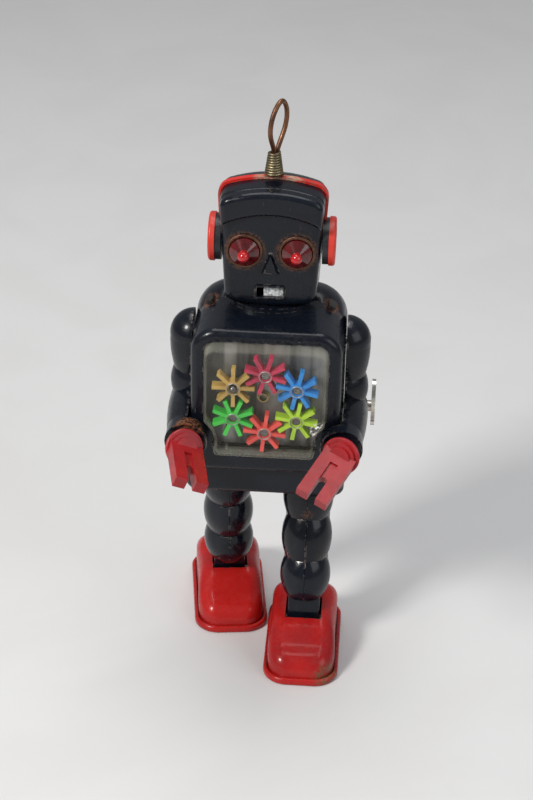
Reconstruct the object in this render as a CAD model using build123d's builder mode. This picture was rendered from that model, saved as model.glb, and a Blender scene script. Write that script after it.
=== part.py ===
from build123d import *
from math import atan2, cos, degrees, hypot, radians, sin
import os

# Wind-up walking robot in lithographed tin and plastic.
# +Z is up, the robot faces -Y, +X is its left. The origin is on the floor, under the body.
# All sizes are in millimetres.

os.makedirs("parts", exist_ok=True)

# Driving dimensions ---------------------------------------------------------
wall = 0.6                  # tin, with its folded stiffness
seam_y = 4.5                # plane where the front and back halves meet

torso_bottom = 98
torso_top = 162.5
torso_half = 30.4
torso_back_y = 27
plate_y = -23               # flat front of the torso
plate_half = 29.6

window_half = 24.6
window_bottom = 108.3
window_top = 157.2
window_corner = 5
cover_depth = 7             # how far the clear cover stands out of the torso

shoulder_y = 4              # arm pivots
shoulder_z = 146
hand_x = 30.8               # centre line of the cuffs
hand_z = 115
cuff_radius = 8.5
cuff_front_y = -29.6
notch_radius = 10.6           # bite out of the window that clears the cuff

star_x = 12.55              # star wheel centres
star_pitch = 13.92
star_high_z = 138.4
star_y = -24                # middle of the star wheels' depth
star_depth = 4
star_radius = 8.4
pin_radius = 0.92

head_half_top = 20.7
head_half_bottom = 18.2
head_top = 215.2
chin_z = 163.8
face_y = -6.5
brow_y = -9.2
eye_x = 10.2
eye_z = 189
ear_z = 189.7

hip_y = 10.3
hip_z = 88.3
ankle_z = 15                # ankle pin, inside the foot
leg_x = 17.4
leg_radius = 10.7
stance = 13                 # swing of each leg from upright, degrees
toe_in = 7.5                  # twist of the right leg, degrees

foot_half = 15.9
foot_front = 28.5           # toe ahead of the ankle
foot_back = 29.5
waist_half = 32.3

arbor_y = 16.6              # winding arbor
arbor_z = 108.5
disc_y = 1                  # friction disc that drives the star wheels
disc_z = star_high_z - star_pitch
crank_y = 7.8
spring_top_z = 226.5
antenna_top_z = 248


def save(piece, label):
    """Name a finished piece and write it."""
    piece.label = label
    export_step(piece, f"parts/{label}.step")


def at_y(y):
    """Sketch plane facing forwards, at the given y."""
    return Plane.XZ.offset(-y)


# Torso ----------------------------------------------------------------------
def torso_outline(y, half, top, shoulder, inset):
    """One cross-section of the torso, seen from the front."""
    low = torso_bottom + inset
    high = top - inset
    with BuildSketch(at_y(y)) as outline:
        with Locations((0, (low + high) / 2)):
            Rectangle(2 * (half - inset), high - low)
        fillet(outline.vertices().group_by(Axis.Y)[-1], shoulder - inset)
        fillet(outline.vertices().group_by(Axis.Y)[0], 3)
    return outline.sketch


def torso_front_form(inset):
    """Solid form of the front half, all faces moved in by inset."""
    with BuildPart() as form:
        seam = torso_outline(seam_y, torso_half, torso_top, 13, inset)
        plate = torso_outline(plate_y + inset, plate_half, torso_top - 0.6, 10, inset)
        loft([seam, plate])
        fillet(form.edges().group_by(Axis.Y)[0], 3 - inset)
    return form.part


def torso_back_form(inset):
    """Solid form of the domed back half."""
    sections = [
        torso_outline(seam_y, torso_half, torso_top, 13, inset),
        torso_outline(seam_y + 8, torso_half, torso_top + 2.4, 14, inset),
        torso_outline(torso_back_y - 6, torso_half - 0.6, torso_top + 0.5, 14, inset),
        torso_outline(torso_back_y - 2, torso_half - 2.6, torso_top - 2, 13, inset),
        torso_outline(torso_back_y - inset, torso_half - 6, torso_top - 5.5, 11, inset),
    ]
    with BuildPart() as form:
        loft(sections)
    return form.part


def window_outline(y, inset):
    """Rounded window with a round bite out of each lower corner."""
    half = window_half - inset
    low = window_bottom + inset
    high = window_top - inset
    bite = notch_radius + inset
    bite_top = hand_z + (bite ** 2 - (hand_x - half) ** 2) ** 0.5
    bite_side = hand_x - (bite ** 2 - (hand_z - low) ** 2) ** 0.5
    deep_x = hand_x - 0.924 * bite
    deep_z = hand_z + 0.383 * bite
    with BuildSketch(at_y(y)) as outline:
        with BuildLine():
            Line((bite_side, low), (-bite_side, low))
            ThreePointArc((-bite_side, low), (-deep_x, deep_z), (-half, bite_top))
            Polyline((-half, bite_top), (-half, high), (half, high), (half, bite_top))
            ThreePointArc((half, bite_top), (deep_x, deep_z), (bite_side, low))
        make_face()
        fillet(outline.vertices().group_by(Axis.Y)[-1], window_corner - inset)
        fillet(outline.vertices().filter_by(lambda v: v.Y < hand_z + bite), 2.6)
    return outline.sketch


with BuildPart() as shoulder_bores:
    with BuildSketch(Plane.YZ):
        with Locations((shoulder_y, shoulder_z)):
            Circle(1.5)
    extrude(amount=torso_half + 1, both=True)
pivot_bores = shoulder_bores.part

front_outer = torso_front_form(0)
front_inner = torso_front_form(wall)
back_outer = torso_back_form(0)
back_inner = torso_back_form(wall)

with BuildPart() as torso_front:
    add(front_outer)
    add(front_inner, mode=Mode.SUBTRACT)
    extrude(window_outline(plate_y, -0.1), amount=-2, mode=Mode.SUBTRACT)
    add(pivot_bores, mode=Mode.SUBTRACT)
    with BuildSketch(Plane.XY.offset(torso_bottom)):
        with Locations((0, -5)):
            Rectangle(50, 22)
    extrude(amount=2, both=True, mode=Mode.SUBTRACT)
save(torso_front.part, "torso_front")

with BuildPart() as torso_back:
    add(back_outer)
    add(back_inner, mode=Mode.SUBTRACT)
    with BuildSketch(Plane.XY.offset(torso_bottom)):
        with Locations((0, seam_y + 8)):
            Rectangle(50, 19)
    extrude(amount=2, both=True, mode=Mode.SUBTRACT)
    with BuildSketch(Plane.YZ.offset(torso_half - 4)):
        with Locations((arbor_y, arbor_z)):
            Circle(3.2)
    extrude(amount=6, mode=Mode.SUBTRACT)
    add(pivot_bores, mode=Mode.SUBTRACT)
save(torso_back.part, "torso_back")

with BuildPart() as shoulder_tab:
    for side in (-1, 1):
        slant = Plane(
            origin=(side * 24, seam_y - 1, torso_top - 1.2),
            z_dir=(side * 0.42, 0, 0.9),
        )
        with BuildSketch(slant):
            RectangleRounded(3, 6, 0.8)
        extrude(amount=1.4)
    add(front_outer, mode=Mode.SUBTRACT)
    add(back_outer, mode=Mode.SUBTRACT)
save(shoulder_tab.part, "shoulder_tabs")


# Window and star wheels -----------------------------------------------------
def cover_form(inset):
    """Form of the clear blister, all faces moved in by inset."""
    base_y = plate_y + wall
    with BuildPart() as form:
        extrude(
            window_outline(base_y, 0.15 + inset),
            amount=wall + cover_depth - inset,
            taper=6,
        )
        fillet(form.faces().sort_by(Axis.Y)[0].edges(), 1.6 - inset)
    return form.part


cover_outer = cover_form(0)
cover_inner = cover_form(0.7)

with BuildPart() as window_cover:
    add(cover_outer)
    with BuildSketch(at_y(plate_y + wall)):
        with Locations((0, (window_bottom + window_top) / 2)):
            RectangleRounded(2 * window_half + 4, window_top - window_bottom + 4, 6)
    extrude(amount=-0.7)
    add(cover_inner, mode=Mode.SUBTRACT)
    extrude(window_outline(plate_y + wall, 0.85), amount=-0.7, mode=Mode.SUBTRACT)
save(window_cover.part, "window_cover")

plate_back_y = plate_y + 4.5
lamp_x = 8.4
with BuildPart() as wheel_plate:
    with BuildSketch(at_y(plate_back_y)):
        with Locations((0, 134)):
            RectangleRounded(54, 50, 4)
        with Locations((-star_x, disc_z)):
            Circle(pin_radius + 0.07, mode=Mode.SUBTRACT)
    extrude(amount=-0.7)
    with BuildSketch(at_y(plate_back_y)):
        with Locations((-lamp_x, 149), (lamp_x, 149)):
            RectangleRounded(3, 15, 0.6)
    extrude(amount=0.5)
    for side in (-1, 1):
        with BuildSketch(at_y(plate_back_y)):
            with Locations((side * 26.6, 134)):
                Rectangle(0.8, 40)
        extrude(amount=-8)
save(wheel_plate.part, "wheel_plate")

with BuildPart() as drive_collar:
    with BuildSketch(at_y(plate_back_y)):
        with Locations((-1, 131.5)):
            Circle(2.6)
            Circle(1.5, mode=Mode.SUBTRACT)
    extrude(amount=0.6)
    with BuildSketch(at_y(plate_back_y)):
        with Locations((-1, 131.5)):
            Circle(2.0)
            Circle(1.5, mode=Mode.SUBTRACT)
    extrude(amount=1.8)
save(drive_collar.part, "drive_collar")

# The six wheels stand in a ring, each in mesh with its two neighbours.
star_low_z = star_high_z - star_pitch
star_rise = (star_pitch ** 2 - star_x ** 2) ** 0.5
star_ring = [
    ("tan_star_wheel", -star_x, star_high_z),
    ("crimson_star_wheel", 0, star_high_z + star_rise),
    ("blue_star_wheel", star_x, star_high_z),
    ("lime_star_wheel", star_x, star_low_z),
    ("coral_star_wheel", 0, star_low_z - star_rise),
    ("green_star_wheel", -star_x, star_low_z),
]


def star_wheel(x, z, phase):
    """Eight-spoked plastic wheel with a raised hub."""
    front = star_y - star_depth / 2
    plane = Plane(origin=(x, front, z), x_dir=(1, 0, 0), z_dir=(0, -1, 0))
    spoke = [(2.5, -0.7), (star_radius, -0.8), (star_radius, 0.8), (2.5, 0.7)]
    with BuildPart() as wheel:
        with BuildSketch(plane):
            Circle(3)
            with PolarLocations(0, 8, start_angle=phase):
                Polygon(*spoke, align=None)
        extrude(amount=-star_depth)
        with BuildSketch(plane):
            Circle(3)
            Circle(2.5, mode=Mode.SUBTRACT)
        extrude(amount=0.35)
        with BuildSketch(plane):
            Circle(1.75)
        extrude(amount=-1.1, mode=Mode.SUBTRACT)
        with BuildSketch(plane):
            Circle(pin_radius + 0.07)
        extrude(amount=-star_depth, mode=Mode.SUBTRACT)
    return wheel.part


phase = 0
for place, (label, x, z) in enumerate(star_ring):
    save(star_wheel(x, z, phase), label)
    next_x, next_z = star_ring[(place + 1) % 6][1:]
    along = degrees(atan2(next_z - z, next_x - x))
    phase = (2 * along - phase + 22.5) % 45

pin_base_y = plate_back_y
pin_flange_y = star_y + star_depth / 2 + 0.25
pin_head_y = star_y - star_depth / 2 + 1
with BuildPart() as star_pins:
    for label, x, z in star_ring[:5]:
        with BuildSketch(at_y(pin_base_y)):
            with Locations((x, z)):
                Circle(1.7)
        extrude(amount=pin_base_y - pin_flange_y)
        with BuildSketch(at_y(pin_base_y)):
            with Locations((x, z)):
                Circle(pin_radius)
        extrude(amount=pin_base_y - pin_head_y)
        with BuildSketch(at_y(pin_head_y - 0.05)):
            with Locations((x, z)):
                Circle(1.55)
        extrude(amount=0.5)
    with Locations((-star_x, pin_head_y - 1.5, star_high_z)):
        Sphere(1.5)
save(star_pins.part, "star_pins")

# The green wheel is fixed on the driven spindle, which ends in a rubber roller.
star_roller_radius = 3.5
roller_contact = 8.6        # distance from the friction disc's centre
spindle_back_y = disc_y - roller_contact + 1
with BuildPart() as star_spindle:
    with BuildSketch(at_y(spindle_back_y)):
        with Locations((-star_x, disc_z)):
            Circle(pin_radius)
    extrude(amount=spindle_back_y - pin_head_y)
    with BuildSketch(at_y(pin_head_y - 0.02)):
        with Locations((-star_x, disc_z)):
            Circle(1.55)
    extrude(amount=0.5)
    with BuildSketch(at_y(spindle_back_y)):
        with Locations((-star_x, disc_z)):
            Circle(star_roller_radius)
    extrude(amount=2)
save(star_spindle.part, "star_spindle")


# Head -----------------------------------------------------------------------
def head_outline(y, low, inset):
    """Front view of the head: crowned top, sides drawn in towards the jaw."""
    top_half = head_half_top - inset
    low_half = head_half_bottom - inset
    high = head_top - inset
    low = low + inset
    corner = max(5 - inset, 1.2)
    with BuildSketch(at_y(y)) as outline:
        with BuildLine():
            ThreePointArc((-low_half, low + 2), (0, low), (low_half, low + 2))
            Line((low_half, low + 2), (top_half, high - 4))
            ThreePointArc((top_half, high - 4), (0, high), (-top_half, high - 4))
            Line((-top_half, high - 4), (-low_half, low + 2))
        make_face()
        fillet(outline.vertices().group_by(Axis.Y)[-1], corner)
        fillet(outline.vertices().group_by(Axis.Y)[0], corner)
    return outline.sketch


def face_form(inset):
    """Front half of the head without the forehead."""
    with BuildPart() as form:
        seam = head_outline(seam_y, chin_z + 1.4, inset)
        face = head_outline(face_y + inset, chin_z, inset + 0.4)
        loft([seam, face])
        fillet(form.edges().group_by(Axis.Y)[0], 3.2 - inset)
    return form.part


def forehead_form(inset):
    """Overhanging forehead, cut off below by the curved brow line."""
    with BuildPart() as form:
        seam = head_outline(seam_y, chin_z + 1.4, inset)
        brow = head_outline(brow_y + inset, chin_z, inset + 0.8)
        loft([seam, brow])
        with BuildSketch(at_y(seam_y)):
            with BuildLine():
                brow_line = ThreePointArc(
                    (-24, 196.5 + inset), (0, 204.6 + inset), (24, 196.5 + inset)
                )
                Polyline(brow_line @ 1, (24, 150), (-24, 150), brow_line @ 0)
            make_face()
        extrude(amount=20, both=True, mode=Mode.SUBTRACT)
        fillet(form.edges().group_by(Axis.Y)[0], 2.2 - inset)
    return form.part


def head_back_form(inset):
    """Domed back half of the head."""
    with BuildPart() as form:
        seam = head_outline(seam_y, chin_z + 1.4, inset)
        middle = head_outline(seam_y + 7, chin_z + 1.8, inset + 0.5)
        round_end = head_outline(seam_y + 12.5, chin_z + 3.2, inset + 3)
        back = head_outline(seam_y + 15 - inset, chin_z + 6, inset + 4.6)
        loft([seam, middle, round_end, back])
    return form.part


face_outer = face_form(0)
face_inner = face_form(wall)
forehead_outer = forehead_form(0)
forehead_inner = forehead_form(wall)
head_back_outer = head_back_form(0)
head_back_inner = head_back_form(wall)

eye_hole = 5.9
mouth_half = 5.2
mouth_low = 169.5
mouth_high = 173.7
with BuildPart() as head_front:
    add(face_outer)
    add(forehead_outer)
    nose = [(-3.9, 179.2), (3.9, 179.2), (0.6, 188.8), (-0.6, 188.8)]
    with BuildSketch(at_y(face_y + 0.3)):
        Polygon(*nose, align=None)
    extrude(amount=1.7, taper=30)
    with BuildSketch(at_y(face_y + 0.3)):
        with Locations((0, (mouth_low + mouth_high) / 2)):
            RectangleRounded(2 * mouth_half + 1.8, mouth_high - mouth_low + 2.2, 1)
    extrude(amount=1.1, taper=20)
    add(face_inner, mode=Mode.SUBTRACT)
    add(forehead_inner, mode=Mode.SUBTRACT)
    with BuildSketch(at_y(face_y - 2)):
        with Locations((-eye_x, eye_z), (eye_x, eye_z)):
            Circle(eye_hole)
        with Locations((0, (mouth_low + mouth_high) / 2)):
            RectangleRounded(2 * mouth_half, mouth_high - mouth_low, 0.5)
    extrude(amount=-4, mode=Mode.SUBTRACT)
save(head_front.part, "head_front")

with BuildPart() as head_back:
    add(head_back_outer)
    add(head_back_inner, mode=Mode.SUBTRACT)
save(head_back.part, "head_back")

band_face = head_outline(seam_y, chin_z + 1.4, -1)
band_bore = head_outline(seam_y, chin_z + 1.4, -0.05)
with BuildPart() as head_band:
    extrude(band_face, amount=1.3, both=True)
    extrude(band_bore, amount=3, both=True, mode=Mode.SUBTRACT)
    add(face_outer, mode=Mode.SUBTRACT)
    add(forehead_outer, mode=Mode.SUBTRACT)
    add(head_back_outer, mode=Mode.SUBTRACT)
    split(bisect_by=Plane.XY.offset(ear_z + 9), keep=Keep.TOP)
save(head_band.part, "head_band")

with BuildPart() as eye_rims:
    for side in (-1, 1):
        with BuildSketch(at_y(face_y - 0.02)):
            with Locations((side * eye_x, eye_z)):
                Circle(7.2)
                Circle(eye_hole, mode=Mode.SUBTRACT)
        extrude(amount=0.9)
    chamfer(eye_rims.faces().sort_by(Axis.Y)[0:2].edges(), 0.35)
save(eye_rims.part, "eye_rims")


def eye_lens(x):
    """Hollow cone of clear red plastic with a ball at its tip."""
    axis = Axis((x, 0, eye_z), (0, -1, 0))
    profile = Plane(origin=(x, face_y, eye_z), x_dir=(1, 0, 0), z_dir=(0, 0, 1))
    rim = eye_hole - 0.1
    with BuildPart() as lens:
        with BuildSketch(profile):
            Polygon(
                (0, -2.2), (rim - 1, -0.5), (rim - 1, 1.5), (rim, 1.5),
                (rim, -1.4), (1.5, -4), (0, -4), align=None,
            )
        revolve(axis=axis)
        with Locations((x, face_y - 5.2, eye_z)):
            Sphere(2.3)
    return lens.part


save(eye_lens(-eye_x), "right_eye_lens")
save(eye_lens(eye_x), "left_eye_lens")

ear_inner_x = 19.75
ear_middle_x = 22.2
ear_outer_x = 24.8


def ear_disc(side):
    """Dished plastic ear."""
    with BuildPart() as ear:
        with BuildSketch(Plane.YZ.offset(side * ear_middle_x)):
            with Locations((seam_y - 0.5, ear_z)):
                Circle(9.7)
        extrude(amount=side * (ear_outer_x - ear_middle_x))
        outer_face = ear.faces().sort_by(Axis.X)[-1 if side > 0 else 0]
        fillet(outer_face.edges(), 1)
        with BuildSketch(Plane.YZ.offset(side * ear_outer_x)):
            with Locations((seam_y - 0.5, ear_z)):
                Circle(6.6)
                Circle(2.2, mode=Mode.SUBTRACT)
        extrude(amount=-side * 1.2, mode=Mode.SUBTRACT)
    return ear.part


save(ear_disc(-1), "right_ear")
save(ear_disc(1), "left_ear")

with BuildPart() as ear_drums:
    for side in (-1, 1):
        with BuildSketch(Plane.YZ.offset(side * ear_inner_x)):
            with Locations((seam_y - 0.5, ear_z)):
                Circle(9.2)
        extrude(amount=side * (ear_middle_x - ear_inner_x))
    add(face_outer, mode=Mode.SUBTRACT)
    add(head_back_outer, mode=Mode.SUBTRACT)
    add(head_band.part, mode=Mode.SUBTRACT)
save(ear_drums.part, "ear_drums")

with BuildPart() as mouth_insert:
    with BuildSketch(at_y(face_y + 0.9)):
        with Locations((1.3, (mouth_low + mouth_high) / 2)):
            Rectangle(7.6, mouth_high - mouth_low + 0.8)
    extrude(amount=-1.2)
save(mouth_insert.part, "mouth_insert")

neck_y = 2.5
with BuildPart() as neck_collar:
    with BuildSketch(Plane.XY.offset(torso_top - 1.5)):
        with Locations((0, neck_y)):
            Ellipse(15.5, 9.5)
            Ellipse(12.5, 6.5, mode=Mode.SUBTRACT)
    extrude(amount=3.2)
    add(front_outer, mode=Mode.SUBTRACT)
    add(back_outer, mode=Mode.SUBTRACT)
    add(face_outer, mode=Mode.SUBTRACT)
    add(head_back_outer, mode=Mode.SUBTRACT)
save(neck_collar.part, "neck_collar")

# Antenna: a conical coil under an oval loop ----------------------------------
spring_low_z = head_top + 1.1
spring_wire = 1.15
spring_turns = 9
spring_pitch = (spring_top_z - spring_low_z - spring_wire) / spring_turns
with BuildPart() as antenna_spring:
    with BuildLine() as coil:
        Helix(
            pitch=spring_pitch,
            height=spring_turns * spring_pitch,
            radius=3.2,
            center=(0, seam_y, spring_low_z + spring_wire / 2),
            cone_angle=-8,
        )
    with BuildSketch(Plane(origin=coil.edge() @ 0, z_dir=coil.edge() % 0)):
        Circle(spring_wire / 2)
    sweep(is_frenet=True)
save(antenna_spring.part, "antenna_spring")

loop_wire = 0.95
loop_turn = 62
loop_lean = 5
loop_base = (0.4, seam_y, spring_top_z - 1)
loop_plane = Plane(
    origin=loop_base,
    x_dir=(cos(radians(loop_turn)), sin(radians(loop_turn)), 0),
    z_dir=(sin(radians(loop_turn)), -cos(radians(loop_turn)), sin(radians(-loop_lean))),
)
loop_height = antenna_top_z - loop_wire - loop_base[2]
with BuildPart() as antenna_loop:
    with BuildLine(loop_plane) as ring:
        Spline(
            (-0.98, -3),
            (-1, 0),
            (-5.2, loop_height * 0.42),
            (-3.2, loop_height * 0.9),
            (0.5, loop_height),
            (3.6, loop_height * 0.9),
            (5.2, loop_height * 0.42),
            (1, 0),
            (0.98, -3),
        )
    with BuildSketch(Plane(origin=ring.edge() @ 0, z_dir=ring.edge() % 0)):
        Circle(loop_wire)
    sweep()
save(antenna_loop.part, "antenna_loop")


# Arms -----------------------------------------------------------------------
arm_inner_x = torso_half + 0.35
elbow_back_y = 13.4


def arm_form(side, inset):
    """Bulged upper arm and forearm, flat beside the torso and round ahead of it."""
    upper = Plane(origin=(side * arm_inner_x, shoulder_y, 0), x_dir=(side, 0, 0), z_dir=(0, -side, 0))
    fore = Plane(origin=(side * hand_x, 0, hand_z), x_dir=(side, 0, 0), z_dir=(0, 0, side))
    thin = 9.6 - inset
    with BuildPart() as form:
        with BuildSketch(upper):
            with BuildLine():
                Line((0, 112), (0, 156.5 - inset))
                ThreePointArc((0, 156.5 - inset), (thin * 0.72, 153.4 - inset), (thin, 145.5))
                ThreePointArc((thin, 145.5), (thin - 0.2, 138.5), (8.1 - inset, 131.5))
                ThreePointArc((8.1 - inset, 131.5), (thin - 0.1, 125), (7.8 - inset, 118))
                Line((7.8 - inset, 118), (0, 112))
            make_face()
        revolve(axis=Axis((side * arm_inner_x, shoulder_y, 0), (0, 0, 1)))
        with BuildSketch(fore):
            with BuildLine():
                back = elbow_back_y - inset
                Line((0, cuff_front_y + 3 * inset), (0, back))
                ThreePointArc((0, back), (7.2 - inset, 10.4 - inset), (9.7 - inset, 4))
                ThreePointArc((9.7 - inset, 4), (9.6 - inset, -9), (8.3 - inset, -22))
                Line((8.3 - inset, -22), (cuff_radius - inset, cuff_front_y + 3 * inset))
                Line((cuff_radius - inset, cuff_front_y + 3 * inset), (0, cuff_front_y + 3 * inset))
            make_face()
        revolve(axis=Axis((side * hand_x, 0, hand_z), (0, 1, 0)))
        with BuildSketch(Plane.XY):
            beside_x = arm_inner_x + inset
            beside_y = plate_y - 1.3 - inset
            with Locations((side * (beside_x - 15), beside_y + 25)):
                Rectangle(30, 50)
        extrude(amount=200, mode=Mode.SUBTRACT)
    return form.part


def arm_shell(side, keep_outer):
    """One tin shell of the arm; the two meet at the flat wall by the torso."""
    outer = arm_form(side, 0)
    inner = arm_form(side, wall)
    split_x = side * (arm_inner_x + wall)
    keep = Keep.TOP if keep_outer == (side > 0) else Keep.BOTTOM
    with BuildPart() as shell:
        add(outer)
        add(inner, mode=Mode.SUBTRACT)
        with BuildSketch(at_y(cuff_front_y)):
            with Locations((side * hand_x, hand_z)):
                Circle(cuff_radius - wall)
        extrude(amount=-1.3, mode=Mode.SUBTRACT)
        with BuildSketch(at_y(cuff_front_y)):
            with Locations((side * hand_x, hand_z)):
                Circle(2)
        extrude(amount=-3, mode=Mode.SUBTRACT)
        with BuildSketch(Plane.YZ.offset(side * (arm_inner_x - 1))):
            with Locations((shoulder_y, shoulder_z)):
                Circle(1.57)
        extrude(amount=side * 3, mode=Mode.SUBTRACT)
        split(bisect_by=Plane.YZ.offset(split_x), keep=keep)
    return shell.part


for side, name in ((-1, "right"), (1, "left")):
    save(arm_shell(side, True), f"{name}_arm_outer")
    save(arm_shell(side, False), f"{name}_arm_inner")

with BuildPart() as shoulder_pivots:
    for side in (-1, 1):
        with BuildSketch(Plane.YZ.offset(side * (torso_half - 3))):
            with Locations((shoulder_y, shoulder_z)):
                Circle(1.5)
        extrude(amount=side * 6.6)
        with BuildSketch(Plane.YZ.offset(side * (arm_inner_x + wall + 0.3))):
            with Locations((shoulder_y, shoulder_z)):
                Circle(2.7)
        extrude(amount=side * 1.2)
        with BuildSketch(Plane.YZ.offset(side * (torso_half - 3))):
            with Locations((shoulder_y, shoulder_z)):
                Circle(3)
        extrude(amount=-side * 1)
save(shoulder_pivots.part, "shoulder_pivots")

# Hands: a stepped disc with a two-pronged claw set 35 degrees off its axis -----
claw_angle = 35
claw_length = 23
claw_width = 13.4
claw_thick = 4.8
claw_slot = 3.4
slot_length = 9.5
hand_gap = 4.6


def hand(side, claw_dir, across):
    """Claw hand; claw_dir is the way the prongs point, across their width."""
    centre = Vector(side * hand_x, cuff_front_y - hand_gap, hand_z)
    along = Vector(*claw_dir).normalized()
    width = Vector(*across)
    width = (width - along * width.dot(along)).normalized()
    up = along.cross(width)
    if up.Z < 0:
        up = up * -1
    normal = along * cos(radians(claw_angle)) + up * sin(radians(claw_angle))
    disc = Plane(origin=centre, z_dir=normal)
    claw = Plane(origin=centre, x_dir=width, z_dir=along)
    with BuildPart() as whole:
        with BuildSketch(disc.offset(-1)):
            Circle(7.7)
        extrude(amount=1.6)
        chamfer(whole.faces().sort_by(Axis.Y)[0].edges(), 0.4)
        with BuildSketch(disc):
            Circle(6)
        extrude(amount=1.8)
        with BuildSketch(disc):
            Circle(4.4)
        extrude(amount=2.9)
        with BuildSketch(claw):
            Rectangle(claw_width, claw_thick)
        extrude(amount=claw_length)
        slot_middle = along * (claw_length - slot_length / 2 + 1)
        with BuildSketch(Plane(origin=centre + slot_middle, x_dir=along, z_dir=up)):
            SlotOverall(slot_length + 4, claw_slot)
        extrude(amount=claw_thick, both=True, mode=Mode.SUBTRACT)
        groove = centre + along * (claw_length / 2 + 3)
        with BuildSketch(Plane(origin=groove + up * (claw_thick / 2 - 1), x_dir=along, z_dir=up)):
            Rectangle(claw_length - 5, claw_slot)
        extrude(amount=3, mode=Mode.SUBTRACT)
        with BuildSketch(disc.offset(-1)):
            Circle(3)
        extrude(amount=-2.2)
    return whole.part


save(hand(-1, (0.2, -0.97, -0.12), (0.92, 0, -0.39)), "right_hand")
save(hand(1, (-0.46, -0.80, -0.385), (0.88, -0.36, -0.30)), "left_hand")


# Legs -----------------------------------------------------------------------
def leg_frame(side, distance):
    """Plane across the leg, the given distance below the hip, facing down the leg."""
    tilt = radians(-side * stance)
    along = Vector(0, sin(tilt), -cos(tilt))
    origin = Vector(side * leg_x, hip_y, hip_z) + along * distance
    return Plane(origin=origin, x_dir=(1, 0, 0), z_dir=along)


def leg_form(side, inset):
    """Three barrel-shaped bulges with a flat-backed web behind them."""
    across = leg_frame(side, 0)
    profile = Plane(origin=across.origin, x_dir=(1, 0, 0), z_dir=across.y_dir)
    wide = leg_radius - inset
    waist = 8.7 - inset
    with BuildPart() as form:
        with BuildSketch(profile):
            with BuildLine():
                Line((0, -64.6 + inset), (0, -6.2 - inset))
                ThreePointArc((0, -6.2 - inset), (wide * 0.74, -9.4 - inset), (wide, -17))
                ThreePointArc((wide, -17), (wide - 0.4, -22.5), (waist, -27.5))
                ThreePointArc((waist, -27.5), (wide, -37), (waist, -46.3))
                ThreePointArc((waist, -46.3), (wide, -55), (7.4 - inset, -64.6 + inset))
                Line((7.4 - inset, -64.6 + inset), (0, -64.6 + inset))
            make_face()
        revolve(axis=Axis(across.origin, across.z_dir))
        with BuildSketch(leg_frame(side, 14 + inset)):
            with Locations((0, -4.8)):
                RectangleRounded(18.6 - 2 * inset, 9.2 - 2 * inset, 3.2 - inset)
        extrude(amount=47 - 2 * inset)
    return form.part


def twisted(piece, side):
    """The right leg is turned a little on its hip, toe inwards."""
    axis = Axis((side * leg_x, hip_y, hip_z), leg_frame(side, 0).z_dir)
    return piece.rotate(axis, -toe_in) if side < 0 else piece


def leg_half(side, keep):
    """One of the two tin halves that meet at the seam down the front of the leg."""
    outer = leg_form(side, 0)
    inner = leg_form(side, wall)
    gap = 0.09 if keep == Keep.TOP else -0.09
    with BuildPart() as half:
        add(outer)
        add(inner, mode=Mode.SUBTRACT)
        with BuildSketch(leg_frame(side, 0)):
            Rectangle(1.8, 8)
        extrude(amount=20, mode=Mode.SUBTRACT)
        with BuildSketch(leg_frame(side, 60)):
            Rectangle(13.9, 10.4)
        extrude(amount=8, mode=Mode.SUBTRACT)
        split(bisect_by=Plane.YZ.offset(side * leg_x + gap), keep=keep)
    return twisted(half.part, side)


def ankle_block(side):
    """Flat lug that joins the leg to the foot's pin."""
    with BuildPart() as block:
        with BuildSketch(leg_frame(side, 60.2)):
            RectangleRounded(13.6, 10, 1)
        extrude(amount=18)
    turned = twisted(block.part, side)
    with BuildPart() as drilled:
        add(turned)
        with BuildSketch(Plane.YZ.offset(side * leg_x - 12)):
            with Locations(ankle_centre(side)):
                Circle(1.57)
        extrude(amount=24, mode=Mode.SUBTRACT)
    return drilled.part


def ankle_centre(side):
    """Where the ankle pin crosses the leg's plane, as (y, z)."""
    reach = (hip_z - ankle_z) / cos(radians(stance))
    return hip_y - side * reach * sin(radians(stance)), ankle_z


train_step = hypot(arbor_y - disc_y, arbor_z - disc_z) / 2
crank_z = arbor_z - (train_step ** 2 - (arbor_y - crank_y) ** 2) ** 0.5
crank_reach = hypot(crank_y - hip_y, crank_z - hip_z)
crank_lean = degrees(atan2(hip_y - crank_y, crank_z - hip_z))
crank_throw = crank_reach * sin(radians(stance))


def leg_lever(side):
    """Steel strip fixed in the leg, slotted above the hip for the crank pin."""
    middle = Plane.YZ.offset(side * leg_x - 0.5)
    lean = radians(crank_lean + side * stance * -1)
    up = (-sin(lean), cos(lean))
    tilt = radians(-side * stance)
    down = (sin(tilt), -cos(tilt))
    hip = (hip_y, hip_z)
    slot = (hip_y + up[0] * crank_reach, hip_z + up[1] * crank_reach)
    end = (hip_y + up[0] * (crank_reach + 9), hip_z + up[1] * (crank_reach + 9))
    foot = (hip_y + down[0] * 30, hip_z + down[1] * 30)
    turn = degrees(atan2(up[1], up[0]))
    with BuildPart() as lever:
        with BuildSketch(middle):
            with Locations(Location(((hip[0] + end[0]) / 2, (hip[1] + end[1]) / 2), turn)):
                SlotCenterToCenter(crank_reach + 9, 5.4)
            with Locations(
                Location(((hip[0] + foot[0]) / 2, (hip[1] + foot[1]) / 2), 90 - side * stance)
            ):
                SlotCenterToCenter(30, 5.4)
            with Locations(hip):
                Circle(1.57, mode=Mode.SUBTRACT)
            with Locations(Location(slot, turn)):
                SlotCenterToCenter(8, 2.6, mode=Mode.SUBTRACT)
        extrude(amount=1)
    return lever.part


for side, name in ((-1, "right"), (1, "left")):
    save(leg_half(side, Keep.TOP), f"{name}_leg_left_half")
    save(leg_half(side, Keep.BOTTOM), f"{name}_leg_right_half")
    save(ankle_block(side), f"{name}_ankle_block")
    save(leg_lever(side), f"{name}_leg_lever")


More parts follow.
